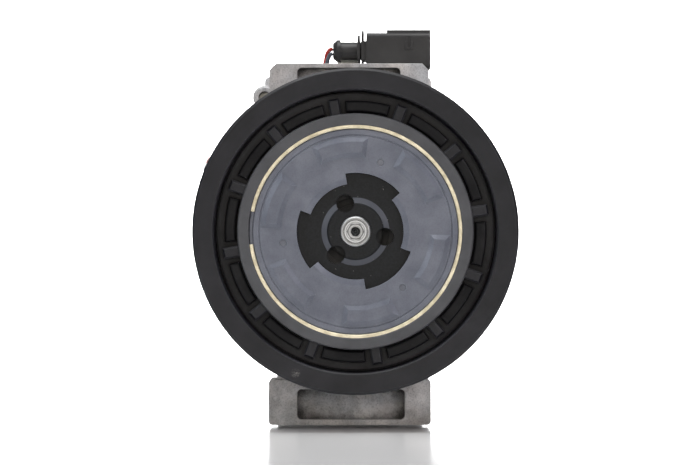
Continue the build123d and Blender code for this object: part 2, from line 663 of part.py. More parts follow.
def make_suction_reed_plate():
    """Thin steel disc, with a tongue cut free over each suction port."""
    plate = stack_disc(136.05, 136.45)
    slot = sector(33.0, 44.0, 135.0, 138.0, -9.0, 9.0) - sector(33.0, 42.8, 134.0, 139.0, -7.0, 7.0)
    plate -= around(piston_angles(), slot)
    return plate - port_holes(26.0, 3.5, 135.0, 138.0)


def make_valve_plate():
    plate = stack_disc(136.5, 139.4)
    plate -= port_holes(38.0, 3.6, 135.0, 141.0)
    return plate - port_holes(24.5, 3.0, 135.0, 141.0)


def make_discharge_reed_plate():
    """Star of tongues, one over each discharge port."""
    star = rod_y(14.0, 139.45, 139.9)
    for angle in piston_angles():
        star += at_angle(angle, block((8.0, 24.5), (139.45, 139.9), (-3.6, 3.6)))
        star += at_angle(angle, rod_y(3.6, 139.45, 139.9, x=24.5))
    return star


def make_head_gasket():
    gasket = stack_disc(139.95, 140.95)
    gasket -= rod_y(28.3, 139.0, 142.0)
    return gasket - port_holes(38.0, 3.6, 139.0, 142.0)


def make_through_bolts():
    head_floor = BOLT_HEAD_FRONT_Y + 3.0
    bolt = rod_y(BOLT_R - 0.05, head_floor, BOLT_END_Y, x=BOLT_PITCH_R)
    bolt += rod_y(5.0, BOLT_HEAD_FRONT_Y, BOLT_HEAD_BACK_Y, x=BOLT_PITCH_R)
    bolt += rod_y(5.8, BOLT_HEAD_BACK_Y - 1.0, BOLT_HEAD_BACK_Y, x=BOLT_PITCH_R)
    bolt -= hexagon_y(5.0, BOLT_HEAD_FRONT_Y - 1.0, head_floor, x=BOLT_PITCH_R)
    return Compound(around(BOLT_ANGLES, bolt))


# ================================================================ small fittings
def make_shaft_seal():
    """Lip seal: the lips stop just short of the turning shaft."""
    return turned(
        (8.06, 3.0), (9.4, 3.0), (9.4, 4.2), (11.8, 4.2), (11.8, 2.0), (13.5, 2.0),
        (13.5, 12.0), (8.06, 12.0), (8.06, 10.6), (10.6, 10.6), (10.6, 5.6), (8.06, 5.6),
    )


def make_seal_circlip():
    return sector(11.6, 14.25, 0.6, 1.6, 100, 440)


def make_bearing_snap_ring():
    return sector(16.75, 19.4, -3.2, -2.1, 280, 620)


def make_oil_drain_plug():
    plug = rod_x(4.95, 49.8, 55.2, 0.0, 0.0)
    head = rod_x(6.5, 54.2, 56.6, 0.0, 0.0) - Pos(56.6, 0, 0) * Rot(0, 90, 0) * Box(5.0, 5.0, 3.2)
    return at_angle(250, Pos(0, 60.0, 0) * (plug + head))


def make_relief_valve_body():
    x, z = RELIEF_XZ
    body = rod_y(RELIEF_R - 0.03, 160.0, HEAD_BACK_Y, x, z)
    body += hexagon_y(12.0, HEAD_BACK_Y, HEAD_BACK_Y + 5.0, x, z)
    body -= rod_y(3.4, 163.0, HEAD_BACK_Y + 3.0, x, z)
    body -= rod_y(1.6, 159.0, 164.0, x, z)
    return body - rod_y(1.2, HEAD_BACK_Y + 2.0, HEAD_BACK_Y + 6.0, x, z)


def make_relief_valve_poppet():
    x, z = RELIEF_XZ
    poppet = rod_y(3.1, 163.1, 168.0, x, z)
    return poppet + rod_y(1.5, 168.0, 176.0, x, z)


def make_check_valve_body():
    x, z = DISCHARGE_PORT
    body = rod_y(DISCHARGE_PASSAGE_R - 0.05, 155.0, 170.5, x, z)
    body -= rod_y(4.2, 157.0, 169.5, x, z)
    body -= rod_y(2.8, 154.0, 158.0, x, z)
    for angle in range(0, 360, 90):
        body -= Pos(x, 0, z) * at_angle(angle, rod_y(0.9, 169.0, 172.0, x=2.4))
    return body


def make_check_valve_poppet():
    x, z = DISCHARGE_PORT
    return rod_y(3.9, 157.1, 159.3, x, z) + rod_y(1.6, 159.3, 165.5, x, z)


def make_control_valve_body():
    """Solenoid control valve: a stepped cartridge with its coil cap outside the head."""
    y = VALVE_Y
    body = rod_x(VALVE_R, VALVE_LEFT_X + 3.0, VALVE_RIGHT_X, y, 0.0)
    for groove_x in (-30.0, -12.0, 6.0):
        groove = rod_x(VALVE_R + 1, groove_x, groove_x + 2.4, y, 0.0)
        body -= groove - rod_x(VALVE_R - 1.6, groove_x, groove_x + 2.4, y, 0.0)
    for port_x in (-20.0, -3.0, 14.0):
        body -= rod_z(1.8, -12.0, 12.0, port_x, y)
    body += rod_x(SOLENOID_R - 0.3, SOLENOID_LEFT_X, VALVE_LEFT_X - 0.1, y, 0.0)
    body += rod_x(VALVE_R - 1.0, VALVE_LEFT_X - 1.0, VALVE_LEFT_X + 4.0, y, 0.0)
    body += block((-60.5, -55.4), (y - 3.6, y + 3.6), (9.0, 13.6))
    return body - rod_x(4.2, -44.0, 18.0, y, 0.0)


def make_control_valve_plunger():
    return rod_x(3.9, -42.5, -26.0, VALVE_Y, 0.0) + rod_x(1.9, -26.0, 16.5, VALVE_Y, 0.0)


def make_control_valve_o_rings():
    seals = []
    for groove_x in (-30.0, -12.0, 6.0):
        outer = rod_x(VALVE_BORE_R, groove_x + 0.2, groove_x + 2.2, VALVE_Y, 0.0)
        seals.append(outer - rod_x(VALVE_R - 1.55, groove_x, groove_x + 2.4, VALVE_Y, 0.0))
    return Compound(seals)


def make_control_valve_circlip():
    """Wire ring round the cartridge, under the coil cap."""
    left = VALVE_LEFT_X + 1.2
    right = VALVE_LEFT_X + 2.4
    outer = rod_x(VALVE_BORE_R - 0.05, left, right, VALVE_Y, 0.0)
    return outer - rod_x(VALVE_R - 0.95, left - 1.0, right + 1.0, VALVE_Y, 0.0)


# ================================================================ connector and leads
def make_connector_housing():
    """Moulded plug housing: its socket opens to the right, its wires leave on the left."""
    low_y, high_y = CONNECTOR_Y
    left, right = CONNECTOR_X
    low_z, high_z = CONNECTOR_Z
    body = block((left, right), (low_y, high_y), (low_z, high_z - 1.1))
    body = fillet(body.edges().filter_by(Axis.X), 1.6)
    body += block((left + 7.4, right), (low_y + 2.0, high_y - 2.0), (high_z - 2.0, high_z))
    body += block((2.2, left + 1.0), (low_y + 1.5, high_y - 1.5), (low_z + 3.0, high_z - 4.0))
    for fin_x, fin_low, fin_high in ((0.8, 61.0, 70.6), (2.2, 60.0, 72.2)):
        fin = block((fin_x, fin_x + 1.0), (NECK_Y - 6.5, NECK_Y + 6.5), (fin_low, fin_high))
        body += fillet(fin.edges().filter_by(Axis.X), 2.0)
    body += rod_x(3.3, -5.2, 3.0, NECK_Y, NECK_Z)
    body += block((18.0, 20.5), (low_y - 0.4, low_y + 1.0), (65.4, 68.2))
    body -= block((18.6, 19.9), (low_y - 1.0, low_y + 0.2), (66.1, 70.0))
    socket = block((13.0, right + 1.0), (low_y + 2.2, high_y - 2.2), (low_z + 2.0, high_z - 3.2))
    body -= fillet(socket.edges().filter_by(Axis.X), 1.2)
    for terminal_y in (NECK_Y - 2.6, NECK_Y + 2.6):
        body -= block((5.0, 14.0), (terminal_y - 1.15, terminal_y + 1.15), (64.3, 65.5))
    return body


def make_connector_terminals():
    blades = []
    for terminal_y in (NECK_Y - 2.6, NECK_Y + 2.6):
        blade = block((5.2, 20.0), (terminal_y - 1.1, terminal_y + 1.1), (64.4, 65.4))
        blades.append(chamfer(blade.faces().sort_by(Axis.X)[-1].edges(), 0.35))
    return Compound(blades)


def make_connector_end_cap():
    """Flared rubber cap where the two leads leave."""
    profile = Polyline((0, -5.2), (4.1, -5.2), (4.1, -6.4), (2.8, -8.0), (0, -8.0), close=True)
    cap = revolve(make_face(profile), Axis.Y)
    return Pos(0, NECK_Y, NECK_Z) * Rot(0, 0, -90) * cap


def make_connector_bracket():
    """Folded steel bracket under the connector, with a tab behind its neck."""
    base = block((-8.0, 24.0), (72.0, 86.5), (56.05, 57.4))
    foot = block((5.0, 24.0), (70.0, 83.0), (57.4, 58.35))
    tab = block((-6.5, 2.0), (85.1, 86.5), (56.05, 63.0))
    return base + foot + tab - rod_z(2.2, 55.0, 60.0, -4.0, 80.0)


def make_bracket_screws():
    """One screw holds the connector's bracket, the other holds the lead clip."""
    upright = rod_z(2.05, 51.0, 58.0, -4.0, 80.0) + rod_z(4.0, 57.45, 60.4, -4.0, 80.0)
    upright -= rod_z(1.6, 58.9, 61.0, -4.0, 80.0)
    boss_x, boss_z = clip_boss()
    level = rod_y(2.05, 50.0, 73.0, x=boss_x, z=boss_z) + rod_y(3.0, 71.6, 74.0, x=boss_x, z=boss_z)
    level -= hexagon_y(2.5, 72.6, 75.0, x=boss_x, z=boss_z)
    return Compound([upright, level])


def lead_points(offset_angle, offset_y, start, end):
    """Route round the upper left of the body; the middle points are (angle, radius, y)."""
    middle = (
        (106.0, 57.4, 77.0),
        (115.0, 57.8, 78.5),
        (124.5, 58.0, 81.5),
        (133.0, 58.0, 91.0),
        (141.0, 58.2, 106.0),
        (147.5, 58.8, 122.5),
        (151.5, 60.2, 138.5),
        (152.5, 61.6, 152.0),
    )
    points = list(start)
    for angle, radius, y in middle:
        turn = radians(angle + offset_angle)
        points.append((radius * cos(turn), y + offset_y, radius * sin(turn)))
    return points + list(end)


RED_ROUTE = lead_points(
    0.0,
    0.0,
    start=[
        (-8.05, 77.2, 66.0), (-9.2, 77.2, 65.7), (-10.2, 77.2, 64.2),
        (-10.6, 77.2, 61.8), (-11.4, 77.2, 58.9),
    ],
    end=[(-56.6, 162.3, 27.4), (-58.0, 167.4, 21.8), (-58.0, 167.4, 13.65)],
)
BLACK_ROUTE = lead_points(
    2.6,
    -2.6,
    start=[
        (-8.05, 74.8, 64.2), (-9.0, 74.8, 63.8), (-9.8, 74.8, 62.2),
        (-10.2, 74.8, 60.0), (-11.2, 74.8, 57.6),
    ],
    end=[(-57.4, 158.9, 24.8), (-58.0, 164.4, 19.4), (-58.0, 164.4, 13.65)],
)


def lead_path(points):
    """Straight runs joined by arcs, each as large as its two runs allow."""
    corners = [Vector(*point) for point in points]
    radii = []
    for before, corner, after in zip(corners, corners[1:], corners[2:]):
        run_in = corner - before
        run_out = after - corner
        half_turn = radians(run_in.get_angle(run_out)) / 2
        radii.append(0.45 * min(run_in.length, run_out.length) * cos(half_turn) / sin(half_turn))
    return FilletPolyline(*points, radius=radii), radii


def make_lead(points, radius=LEAD_R):
    path, radii = lead_path(points)
    section = Plane(origin=path @ 0, z_dir=path % 0) * Circle(radius)
    return sweep(section, path=path)


def make_lead_clip():
    """Plastic guide screwed to the boss, with a channel for each lead."""
    boss_x, boss_z = clip_boss()
    plate = rod_y(3.2, 70.05, 71.6, x=CLIP_BOSS_PITCH_R)
    strut = block((58.0, 61.0), (70.05, 75.0), (-2.6, 2.6))
    guide = block((55.6, 61.0), (74.6, 86.0), (-2.6, 2.6))
    clip = at_angle(CLIP_BOSS_ANGLE, plate + strut + guide)
    clip -= rod_y(3.3, 71.6, 74.6, x=boss_x, z=boss_z)
    clip -= rod_y(2.15, 69.0, 73.0, x=boss_x, z=boss_z)
    for route in (RED_ROUTE, BLACK_ROUTE):
        clip -= make_lead(route, radius=LEAD_R + 0.15)
    return clip


# ================================================================ files
def all_nodes():
    nodes = {
        "pulley": make_pulley(),
        "drive_ring": make_drive_ring(),
        "damper_carrier": make_damper_carrier(),
        "damper_blocks": make_damper_blocks(),
        "retaining_ring": make_retaining_ring(),
        "cover_plate": make_cover_plate(),
        "limiter_ring": make_limiter_ring(),
        "limiter_rivets": make_limiter_rivets(),
        "hub": make_hub(),
        "pulley_bearing_inner_ring": make_bearing_inner_ring(),
        "pulley_bearing_outer_ring": make_bearing_outer_ring(),
        "pulley_bearing_seals": make_bearing_seals(),
        "pulley_bearing_balls": make_bearing_balls(),
        "bearing_snap_ring": make_bearing_snap_ring(),
        "front_needle_shell": make_needle_shell(FRONT_BEARING_Y),
        "front_needle_rollers": make_needles(FRONT_BEARING_Y),
        "rear_needle_shell": make_needle_shell(REAR_BEARING_Y),
        "rear_needle_rollers": make_needles(REAR_BEARING_Y),
        "thrust_rollers": make_thrust_needles(),
        "drive_shaft": make_drive_shaft(),
        "lug_plate": make_lug_plate(),
        "swash_plate": make_swash_plate(),
        "link_pin": make_link_pin(),
        "destroke_spring": make_destroke_spring(),
        "return_spring": make_return_spring(),
        "piston_shoes": make_piston_shoes(),
        "front_housing": make_front_housing(),
        "cylinder_block": make_cylinder_block(),
        "rear_head": make_rear_head(),
        "housing_o_rings": make_housing_o_rings(),
        "suction_reed_plate": make_suction_reed_plate(),
        "valve_plate": make_valve_plate(),
        "discharge_reed_plate": make_discharge_reed_plate(),
        "head_gasket": make_head_gasket(),
        "through_bolts": make_through_bolts(),
        "shaft_seal": make_shaft_seal(),
        "seal_circlip": make_seal_circlip(),
        "oil_drain_plug": make_oil_drain_plug(),
        "relief_valve_body": make_relief_valve_body(),
        "relief_valve_poppet": make_relief_valve_poppet(),
        "check_valve_body": make_check_valve_body(),
        "check_valve_poppet": make_check_valve_poppet(),
        "control_valve_body": make_control_valve_body(),
        "control_valve_plunger": make_control_valve_plunger(),
        "control_valve_o_rings": make_control_valve_o_rings(),
        "control_valve_circlip": make_control_valve_circlip(),
        "connector_housing": make_connector_housing(),
        "connector_terminals": make_connector_terminals(),
        "connector_end_cap": make_connector_end_cap(),
        "connector_bracket": make_connector_bracket(),
        "bracket_screws": make_bracket_screws(),
        "lead_clip": make_lead_clip(),
        "lead_red": make_lead(RED_ROUTE),
        "lead_black": make_lead(BLACK_ROUTE),
    }
    piston = make_piston()
    for number, angle in enumerate(piston_angles(), start=1):
        nodes[f"piston_{number}"] = at_angle(angle, piston)
    return nodes


os.makedirs("parts", exist_ok=True)
for node, shape in all_nodes().items():
    export_step(shape, f"parts/{node}.step")

for name, route in (("red", RED_ROUTE), ("black", BLACK_ROUTE)):
    lead_line, lead_radii = lead_path(route)
    bend_radii = [round(radius, 1) for radius in lead_radii]
    print(name, "lead length", round(lead_line.length, 1), "radii", bend_radii)
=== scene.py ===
"""Looks of a clutchless car air-conditioning compressor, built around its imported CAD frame.

Everything is in metres in the CAD frame: the shaft lies along Y, the pulley is towards -Y and +Z is up.
"""

import json
import math

import bpy
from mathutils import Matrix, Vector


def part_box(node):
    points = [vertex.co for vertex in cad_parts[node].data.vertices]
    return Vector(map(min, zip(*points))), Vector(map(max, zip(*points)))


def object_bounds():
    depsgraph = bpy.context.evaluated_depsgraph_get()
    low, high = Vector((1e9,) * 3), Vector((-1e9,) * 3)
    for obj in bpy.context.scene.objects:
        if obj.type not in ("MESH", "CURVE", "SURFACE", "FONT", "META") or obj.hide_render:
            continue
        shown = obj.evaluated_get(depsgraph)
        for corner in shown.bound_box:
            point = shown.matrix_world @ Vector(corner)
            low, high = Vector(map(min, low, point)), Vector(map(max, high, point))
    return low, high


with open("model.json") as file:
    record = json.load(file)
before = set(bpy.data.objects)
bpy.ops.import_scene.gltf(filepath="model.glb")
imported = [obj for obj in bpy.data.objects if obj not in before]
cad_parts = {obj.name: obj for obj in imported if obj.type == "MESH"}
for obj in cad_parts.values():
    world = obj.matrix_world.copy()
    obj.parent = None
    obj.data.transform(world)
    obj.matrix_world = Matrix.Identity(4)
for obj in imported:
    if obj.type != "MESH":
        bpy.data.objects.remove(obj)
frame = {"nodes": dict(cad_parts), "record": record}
cad_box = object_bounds()

NODES = frame["nodes"]
MM = 0.001

CAMERA_DISTANCE = 1.2
CAMERA_X = -1.85 * MM
CAMERA_Z = -0.32 * MM
CLIP_START = 0.01
CLIP_END = 20.0
LENS_MM = 183.7
SENSOR_MM = 36.0

# The scuff on the pulley's face: where it is about the shaft, and how far it spreads.
SCUFF_TURN = math.radians(247)
SCUFF_FROM_AXIS_MM = 51.7
SCUFF_SPREAD_MM = 2.4

# The painted sheen on the turned band round the hub's boss.
BAND_FROM_AXIS_MM = 10.55
BAND_SPREAD_MM = 2.0

# The floor runs back to FLOOR_BACK, curves up through a quarter circle and ends in a backdrop.
FLOOR_FRONT = -3.0
FLOOR_BACK = 2.0
FLOOR_BEND = 1.2
FLOOR_BEND_STEPS = 12
BACKDROP_TOP = 4.0
STAGE_HALF_WIDTH = 4.0

WHITE = (1.0, 1.0, 1.0)
WORLD_STRENGTH = 0.17


# ---------------------------------------------------------------- camera


def make_camera():
    """Looks straight along +Y at the pulley, as the photograph does."""
    data = bpy.data.cameras.new("camera")
    data.lens = LENS_MM
    data.sensor_width = SENSOR_MM
    data.clip_start = CLIP_START
    data.clip_end = CLIP_END
    camera = bpy.data.objects.new("camera", data)
    pulley_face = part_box("pulley")[0][1]
    camera.location = (CAMERA_X, pulley_face - CAMERA_DISTANCE, CAMERA_Z)
    camera.rotation_euler = (math.radians(90), 0, 0)
    bpy.context.scene.collection.objects.link(camera)
    bpy.context.scene.camera = camera


# ---------------------------------------------------------------- shader helpers
class Graph:
    """Small helper that adds and links shader nodes."""

    def __init__(self, material):
        self.tree = material.node_tree
        self.shader = self.tree.nodes["Principled BSDF"]

    def add(self, kind, **settings):
        """New node; a setting named in_Name sets an input, any other a property."""
        node = self.tree.nodes.new(kind)
        for key, value in settings.items():
            if key.startswith("in_"):
                node.inputs[key[3:].replace("_", " ")].default_value = value
            else:
                setattr(node, key, value)
        return node

    def link(self, source, target):
        self.tree.links.new(source, target)

    def math(self, operation, first, second=0.5, clamp=False):
        """Result of one operation on numbers or sockets; some operations ignore the second."""
        node = self.add("ShaderNodeMath", operation=operation, use_clamp=clamp)
        for index, value in enumerate((first, second)):
            if isinstance(value, (int, float)):
                node.inputs[index].default_value = value
            else:
                self.link(value, node.inputs[index])
        return node.outputs[0]

    def ramp(self, factor, *stops):
        """Colour ramp from (position, colour) stops; a plain number is a grey."""
        node = self.add("ShaderNodeValToRGB")
        elements = node.color_ramp.elements
        while len(elements) < len(stops):
            elements.new(0.5)
        for element, (position, colour) in zip(elements, stops):
            element.position = position
            if isinstance(colour, (int, float)):
                colour = (colour, colour, colour)
            element.color = (*colour, 1.0)
        self.link(factor, node.inputs["Fac"])
        return node.outputs["Color"]

    def mix(self, factor, first, second, blend_type="MIX"):
        """Two colours mixed by factor; each of the three is a number, a colour or a socket."""
        node = self.add("ShaderNodeMix", data_type="RGBA", blend_type=blend_type)
        sockets = (node.inputs[0], node.inputs[6], node.inputs[7])
        for socket, value in zip(sockets, (factor, first, second)):
            if isinstance(value, (int, float)):
                socket.default_value = value
            elif isinstance(value, tuple):
                socket.default_value = (*value, 1.0)
            else:
                self.link(value, socket)
        return node.outputs[2]

    def position(self):
        """Object coordinates in millimetres."""
        coordinates = self.add("ShaderNodeTexCoord").outputs["Object"]
        mapping = self.add("ShaderNodeMapping", vector_type="POINT")
        mapping.inputs["Scale"].default_value = (1.0 / MM, 1.0 / MM, 1.0 / MM)
        self.link(coordinates, mapping.inputs["Vector"])
        return mapping.outputs["Vector"]

    def noise(self, scale, detail=3.0, roughness=0.55, distortion=0.0):
        """Noise whose cells are about 1/scale millimetres across."""
        node = self.add("ShaderNodeTexNoise", in_Scale=scale, in_Detail=detail)
        node.inputs["Roughness"].default_value = roughness
        node.inputs["Distortion"].default_value = distortion
        self.link(self.position(), node.inputs["Vector"])
        return node.outputs["Fac"]

    def bump(self, height, strength, distance_mm, normal):
        """Gives the shader a bump of the height, on top of the normal."""
        node = self.add("ShaderNodeBump", in_Strength=strength, in_Distance=distance_mm * MM)
        self.link(height, node.inputs["Height"])
        self.link(normal, node.inputs["Normal"])
        self.link(node.outputs["Normal"], self.shader.inputs["Normal"])

    def base_colour(self, colour):
        self.link(colour, self.shader.inputs["Base Color"])

    def roughness(self, *ramp):
        """Roughness that follows a colour ramp's output."""
        self.link(self.ramp(*ramp), self.shader.inputs["Roughness"])

    def radius(self):
        """Distance from the shaft axis in millimetres."""
        split = self.add("ShaderNodeSeparateXYZ")
        self.link(self.position(), split.inputs[0])
        square_x = self.math("MULTIPLY", split.outputs["X"], split.outputs["X"])
        square_z = self.math("MULTIPLY", split.outputs["Z"], split.outputs["Z"])
        return self.math("SQRT", self.math("ADD", square_x, square_z))

    def axis(self, name):
        """One coordinate, X, Y or Z, in millimetres."""
        split = self.add("ShaderNodeSeparateXYZ")
        self.link(self.position(), split.inputs[0])
        return split.outputs[name]

    def edges(self, spread_mm):
        """1 along outer edges, 0 elsewhere; used for rubbed edges and for painted edge highlights."""
        bevel = self.add("ShaderNodeBevel", samples=4)
        bevel.inputs["Radius"].default_value = spread_mm * MM
        geometry = self.add("ShaderNodeNewGeometry")
        dot = self.add("ShaderNodeVectorMath", operation="DOT_PRODUCT")
        self.link(bevel.outputs["Normal"], dot.inputs[0])
        self.link(geometry.outputs["Normal"], dot.inputs[1])
        return self.math("SUBTRACT", 1.0, dot.outputs["Value"], clamp=True)

    def soft_normal(self, radius_mm):
        """Normal that rounds sharp edges off, as a moulding or a coat of paint does."""
        bevel = self.add("ShaderNodeBevel", samples=4)
        bevel.inputs["Radius"].default_value = radius_mm * MM
        return bevel.outputs["Normal"]

    def crevice(self, distance_mm):
        """0 deep in corners of the piece itself, 1 in the open."""
        occlusion = self.add("ShaderNodeAmbientOcclusion", samples=6, only_local=True)
        occlusion.inputs["Distance"].default_value = distance_mm * MM
        return occlusion.outputs["AO"]


def start(name, metallic=0.0, roughness=0.5, specular=0.5):
    """A new material and its graph, with its even values set on the shader itself."""
    material = bpy.data.materials.new(name)
    material.use_nodes = True
    graph = Graph(material)
    shader = graph.shader
    shader.inputs["Metallic"].default_value = metallic
    shader.inputs["Roughness"].default_value = roughness
    shader.inputs["Specular IOR Level"].default_value = specular
    return material, graph


# ---------------------------------------------------------------- materials
def cast_aluminium():
    """Die-cast skin: mottled grey with brown and blue stains, painted shade in its corners and
    recesses, a painted warm floor reflection on its lowest parts, and rubbed edges.
    """
    material, g = start("cast_aluminium", metallic=0.35, specular=0.4)
    blotch = g.noise(0.11, detail=6.0, roughness=0.62)
    speckle = g.noise(1.7, detail=4.0, roughness=0.7)
    warm = g.noise(0.06, detail=3.0)
    cloud = g.ramp(
        blotch, (0.30, (0.46, 0.45, 0.445)), (0.52, (0.57, 0.565, 0.565)), (0.72, (0.69, 0.685, 0.675))
    )
    tint = g.ramp(warm, (0.40, (0.88, 0.91, 0.96)), (0.62, (1.0, 0.92, 0.87)))
    colour = g.mix(0.5, cloud, tint, "MULTIPLY")
    dots = g.ramp(speckle, (0.34, 0.30), (0.52, 1.0))
    colour = g.mix(0.5, colour, dots, "MULTIPLY")
    patches = g.noise(0.22, detail=4.0, roughness=0.6)
    colour = g.mix(0.35, colour, g.ramp(patches, (0.34, 0.60), (0.56, 1.0)), "MULTIPLY")
    # Painted shade: darkens the corners and recesses of the piece, broken up by the blotches.
    crevice_shade_amount = g.math("MULTIPLY", g.crevice(5.0), g.math("ADD", blotch, 0.5))
    painted_crevice_shade = g.ramp(crevice_shade_amount, (0.46, (0.07, 0.065, 0.06)), (0.76, (1.0, 1.0, 1.0)))
    colour = g.mix(0.92, colour, painted_crevice_shade, "MULTIPLY")
    # Painted reflection of the warm floor: tints the lowest parts beige.
    low = g.ramp(g.math("MULTIPLY", g.axis("Z"), -0.01), (0.58, 0.0), (0.68, 1.0))
    colour = g.mix(g.math("MULTIPLY", low, 0.5), colour, (0.78, 0.72, 0.62), "MULTIPLY")
    rubbed = g.ramp(g.edges(0.5), (0.05, 0.0), (0.30, 1.0))
    colour = g.mix(g.math("MULTIPLY", rubbed, 0.35), colour, (0.62, 0.61, 0.59))
    g.base_colour(colour)
    g.roughness(blotch, (0.3, 0.72), (0.7, 0.50))
    grain = g.math("ADD", speckle, g.math("MULTIPLY", g.noise(0.5, detail=3.0), 0.8))
    g.bump(grain, 0.55, 0.22, g.soft_normal(0.5))
    return material


def machined(name, colour, roughness, grooves_per_mm, strength=0.25):
    """Turned metal: fine rings about the shaft axis with uneven brightness."""
    material, g = start(name, metallic=1.0)
    rings = g.math("SINE", g.math("MULTIPLY", g.radius(), grooves_per_mm * math.tau))
    haze = g.noise(0.5, detail=4.0)
    dull = tuple(0.72 * channel for channel in colour)
    g.base_colour(g.ramp(haze, (0.35, dull), (0.65, colour)))
    g.roughness(haze, (0.3, roughness + 0.12), (0.7, roughness))
    g.bump(rings, strength, 0.03, g.soft_normal(0.12))
    return material


def moulded(
    name, dark, light, roughness, grain_mm=0.5, strength=0.25, edge=0.0, soft_mm=0.25, specular=0.5
):
    """Moulded or coated surface with a fine grain, faint blotches and, if asked, painted highlights
    along its edges.
    """
    material, g = start(name, specular=specular)
    blotch = g.noise(0.09, detail=5.0)
    grain = g.noise(1.0 / grain_mm, detail=2.0)
    colour = g.ramp(blotch, (0.35, dark), (0.68, light))
    if edge:
        # Painted highlight: paler colour along the edges, standing in for glints.
        pale_edge_mask = g.ramp(g.edges(0.35), (0.04, 0.0), (0.35, 1.0))
        pale = tuple(min(1.0, 3.2 * channel + 0.02) for channel in light)
        colour = g.mix(g.math("MULTIPLY", pale_edge_mask, edge), colour, pale)
    g.base_colour(colour)
    g.roughness(blotch, (0.3, roughness + 0.08), (0.7, roughness - 0.04))
    g.bump(grain, strength, 0.05, g.soft_normal(soft_mm))
    return material


def pulley_black():
    """Black moulded pulley with a fine grain, painted highlights along its rims, and one scuff on its
    face.
    """
    material, g = start("pulley_black", specular=0.36)
    blotch = g.noise(0.07, detail=5.0)
    grain = g.noise(2.6, detail=2.0)
    colour = g.ramp(blotch, (0.35, (0.0055, 0.0055, 0.0075)), (0.68, (0.0105, 0.0105, 0.0145)))
    # Painted highlight: paler colour along the rims' edges.
    rim_highlight = g.ramp(g.edges(0.4), (0.03, 0.0), (0.35, 1.0))
    colour = g.mix(g.math("MULTIPLY", rim_highlight, 0.6), colour, (0.10, 0.105, 0.12))
    scuff = g.add("ShaderNodeVectorMath", operation="DISTANCE")
    g.link(g.position(), scuff.inputs[0])
    scuff.inputs[1].default_value = (
        SCUFF_FROM_AXIS_MM * math.cos(SCUFF_TURN),
        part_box("pulley")[0][1] / MM,
        SCUFF_FROM_AXIS_MM * math.sin(SCUFF_TURN),
    )
    away = g.math("DIVIDE", scuff.outputs["Value"], SCUFF_SPREAD_MM)
    near = g.ramp(away, (0.25, 1.0), (0.75, 0.0))
    scratches = g.noise(1.5, detail=5.0, roughness=0.8, distortion=1.0)
    marks = g.ramp(scratches, (0.50, 0.0), (0.62, 1.0))
    colour = g.mix(g.math("MULTIPLY", near, marks), colour, (0.20, 0.19, 0.18))
    g.base_colour(colour)
    g.roughness(blotch, (0.3, 0.50), (0.7, 0.40))
    g.bump(grain, 0.30, 0.04, g.soft_normal(0.35))
    return material


def cover_grey():
    """Blue-grey coated sheet steel, a little mottled, with painted shade in its groove and corners,
    darker towards its rolled edge, and painted highlights along its edges.
    """
    material, g = start("cover_grey", metallic=0.25, specular=0.5)
    cloud = g.noise(0.10, detail=6.0, roughness=0.6)
    grain = g.noise(2.2, detail=3.0, roughness=0.6)
    colour = g.ramp(cloud, (0.32, (0.105, 0.115, 0.145)), (0.70, (0.155, 0.165, 0.20)))
    specks = g.ramp(grain, (0.36, 0.70), (0.52, 1.0))
    colour = g.mix(0.35, colour, specks, "MULTIPLY")
    # Painted shade: darkens the groove and the corners of the piece.
    shade = g.ramp(g.crevice(1.6), (0.45, 0.22), (0.92, 1.0))
    colour = g.mix(0.8, colour, shade, "MULTIPLY")
    # Painted highlight: paler colour along the edges and the pads' outlines.
    pale_edge_mask = g.ramp(g.edges(0.45), (0.03, 0.0), (0.30, 1.0))
    colour = g.mix(g.math("MULTIPLY", pale_edge_mask, 0.6), colour, (0.30, 0.32, 0.37))
    g.base_colour(colour)
    g.roughness(cloud, (0.3, 0.44), (0.7, 0.34))
    g.bump(grain, 0.18, 0.05, g.soft_normal(0.35))
    return material


def hub_black():
    """Black coated hub with a painted sheen on the turned band round its boss."""
    material, g = start("hub_black", specular=0.22)
    grain = g.noise(1.6, detail=3.0)
    # Painted sheen: a paler grey ring round the boss.
    away = g.math("ABSOLUTE", g.math("SUBTRACT", g.radius(), BAND_FROM_AXIS_MM))
    band = g.ramp(g.math("DIVIDE", away, BAND_SPREAD_MM), (0.42, 1.0), (0.50, 0.0))
    colour = g.ramp(grain, (0.35, (0.005, 0.006, 0.007)), (0.65, (0.009, 0.010, 0.012)))
    colour = g.mix(band, colour, (0.075, 0.080, 0.095))
    dust = g.ramp(g.noise(0.9, detail=2.0), (0.735, 0.0), (0.76, 1.0))
    colour = g.mix(g.math("MULTIPLY", dust, 0.6), colour, (0.20, 0.20, 0.19))
    g.base_colour(colour)
    g.shader.inputs["Roughness"].default_value = 0.36
    g.bump(grain, 0.15, 0.05, g.soft_normal(0.2))
    return material


def shaft_steel():
    """Turned shaft: bright rings about the axis, with painted shade in its groove, its recess and its
    centre hole.
    """
    material, g = start("shaft_steel", metallic=1.0)
    rings = g.math("SINE", g.math("MULTIPLY", g.radius(), 1.5 * math.tau))
    banding = g.math("ADD", g.math("MULTIPLY", rings, 0.5), 0.5)
    shade = g.ramp(banding, (0.15, (0.34, 0.35, 0.35)), (0.85, (0.62, 0.63, 0.64)))
    # Painted shade: darkens the groove, the recess and the centre hole.
    hollow_shade = g.ramp(g.crevice(1.2), (0.40, 0.10), (0.90, 1.0))
    colour = g.mix(0.9, shade, hollow_shade, "MULTIPLY")
    pale_edge_mask = g.ramp(g.edges(0.3), (0.03, 0.0), (0.25, 1.0))
    colour = g.mix(g.math("MULTIPLY", pale_edge_mask, 0.7), colour, (0.85, 0.86, 0.87))
    g.base_colour(colour)
    g.roughness(g.noise(0.5, detail=4.0), (0.3, 0.44), (0.7, 0.32))
    g.bump(rings, 0.4, 0.03, g.soft_normal(0.12))
    return material


